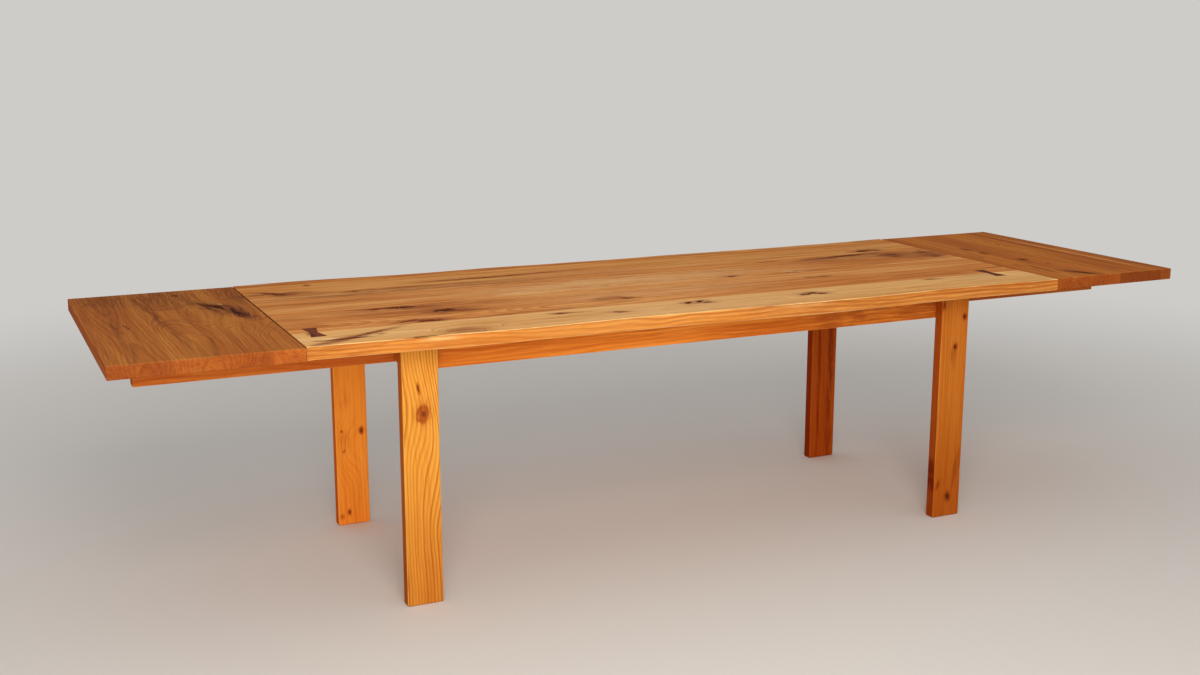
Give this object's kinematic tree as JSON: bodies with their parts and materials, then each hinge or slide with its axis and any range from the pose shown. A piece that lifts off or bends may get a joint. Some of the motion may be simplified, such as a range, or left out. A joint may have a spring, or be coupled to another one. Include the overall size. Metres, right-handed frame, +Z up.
{
  "type": "draw leaf table",
  "caption": "Long plank dining table with an end leaf at each end that draws off on dowels over pull-out bearers, on flat legs outside long aprons.",
  "frame": {"origin": "on the floor under the middle of the table", "axes": "+Z up, +X to the right along the table, -Y to the front; the leaves are at -X and +X"},
  "size_m": [3.266, 0.958, 0.75],
  "materials": {
    "wood_top": "satin oiled wood, tan-gold",
    "wood_pale": "satin oiled wood, pale sapwood",
    "wood_leaf": "satin oiled wood, redder",
    "wood_frame": "satin oiled wood, orange",
    "wood_key": "satin oiled wood, dark red-brown",
    "wood_dowel": "raw turned wood",
    "steel": "zinc-plated steel"
  },
  "bodies": {
    "table": {"main_plank_1": "wood_pale", "main_plank_2": "wood_top", "main_plank_3": "wood_top", "main_plank_4": "wood_top", "key_left": "wood_key", "key_right": "wood_key", "leg_front_left": "wood_frame", "leg_front_right": "wood_frame", "leg_back_left": "wood_frame", "leg_back_right": "wood_frame", "apron_front": "wood_frame", "apron_back": "wood_frame", "end_rail_left": "wood_frame", "end_rail_right": "wood_frame", "guide_rail_left": "wood_frame", "guide_rail_right": "wood_frame", "leg_bolt_front_left_lower": "steel", "leg_bolt_front_left_upper": "steel", "leg_bolt_front_right_lower": "steel", "leg_bolt_front_right_upper": "steel", "leg_bolt_back_left_lower": "steel", "leg_bolt_back_left_upper": "steel", "leg_bolt_back_right_lower": "steel", "leg_bolt_back_right_upper": "steel", "top_screw_left_front": "steel", "top_screw_left_back": "steel", "top_screw_right_front": "steel", "top_screw_right_back": "steel"},
    "leaf_left": {"leaf_left_plank_1": "wood_leaf", "leaf_left_plank_2": "wood_leaf", "leaf_left_plank_3": "wood_leaf", "dowel_left_1": "wood_dowel", "dowel_left_2": "wood_dowel", "dowel_left_3": "wood_dowel"},
    "leaf_right": {"leaf_right_plank_1": "wood_leaf", "leaf_right_plank_2": "wood_leaf", "leaf_right_plank_3": "wood_leaf", "dowel_right_1": "wood_dowel", "dowel_right_2": "wood_dowel", "dowel_right_3": "wood_dowel"},
    "bearer_left_front": {"bearer_left_front": "wood_frame", "stop_peg_left_front": "wood_key"},
    "bearer_left_back": {"bearer_left_back": "wood_frame", "stop_peg_left_back": "wood_key"},
    "bearer_right_front": {"bearer_right_front": "wood_frame", "stop_peg_right_front": "wood_key"},
    "bearer_right_back": {"bearer_right_back": "wood_frame", "stop_peg_right_back": "wood_key"}
  },
  "joints": [
    {"name": "leaf_left_draw", "type": "slide", "parent": "table", "child": "leaf_left", "axis": [-1, 0, 0], "range_m": [0, 0.16]},
    {"name": "leaf_right_draw", "type": "slide", "parent": "table", "child": "leaf_right", "axis": [1, 0, 0], "range_m": [0, 0.16]},
    {"name": "bearer_left_front_slide", "type": "slide", "parent": "table", "child": "bearer_left_front", "axis": [-1, 0, 0], "range_m": [-0.4165, 0.0298]},
    {"name": "bearer_left_back_slide", "type": "slide", "parent": "table", "child": "bearer_left_back", "axis": [-1, 0, 0], "range_m": [-0.4165, 0.0298]},
    {"name": "bearer_right_front_slide", "type": "slide", "parent": "table", "child": "bearer_right_front", "axis": [1, 0, 0], "range_m": [-0.37, 0.0838]},
    {"name": "bearer_right_back_slide", "type": "slide", "parent": "table", "child": "bearer_right_back", "axis": [1, 0, 0], "range_m": [-0.37, 0.0838]}
  ]
}
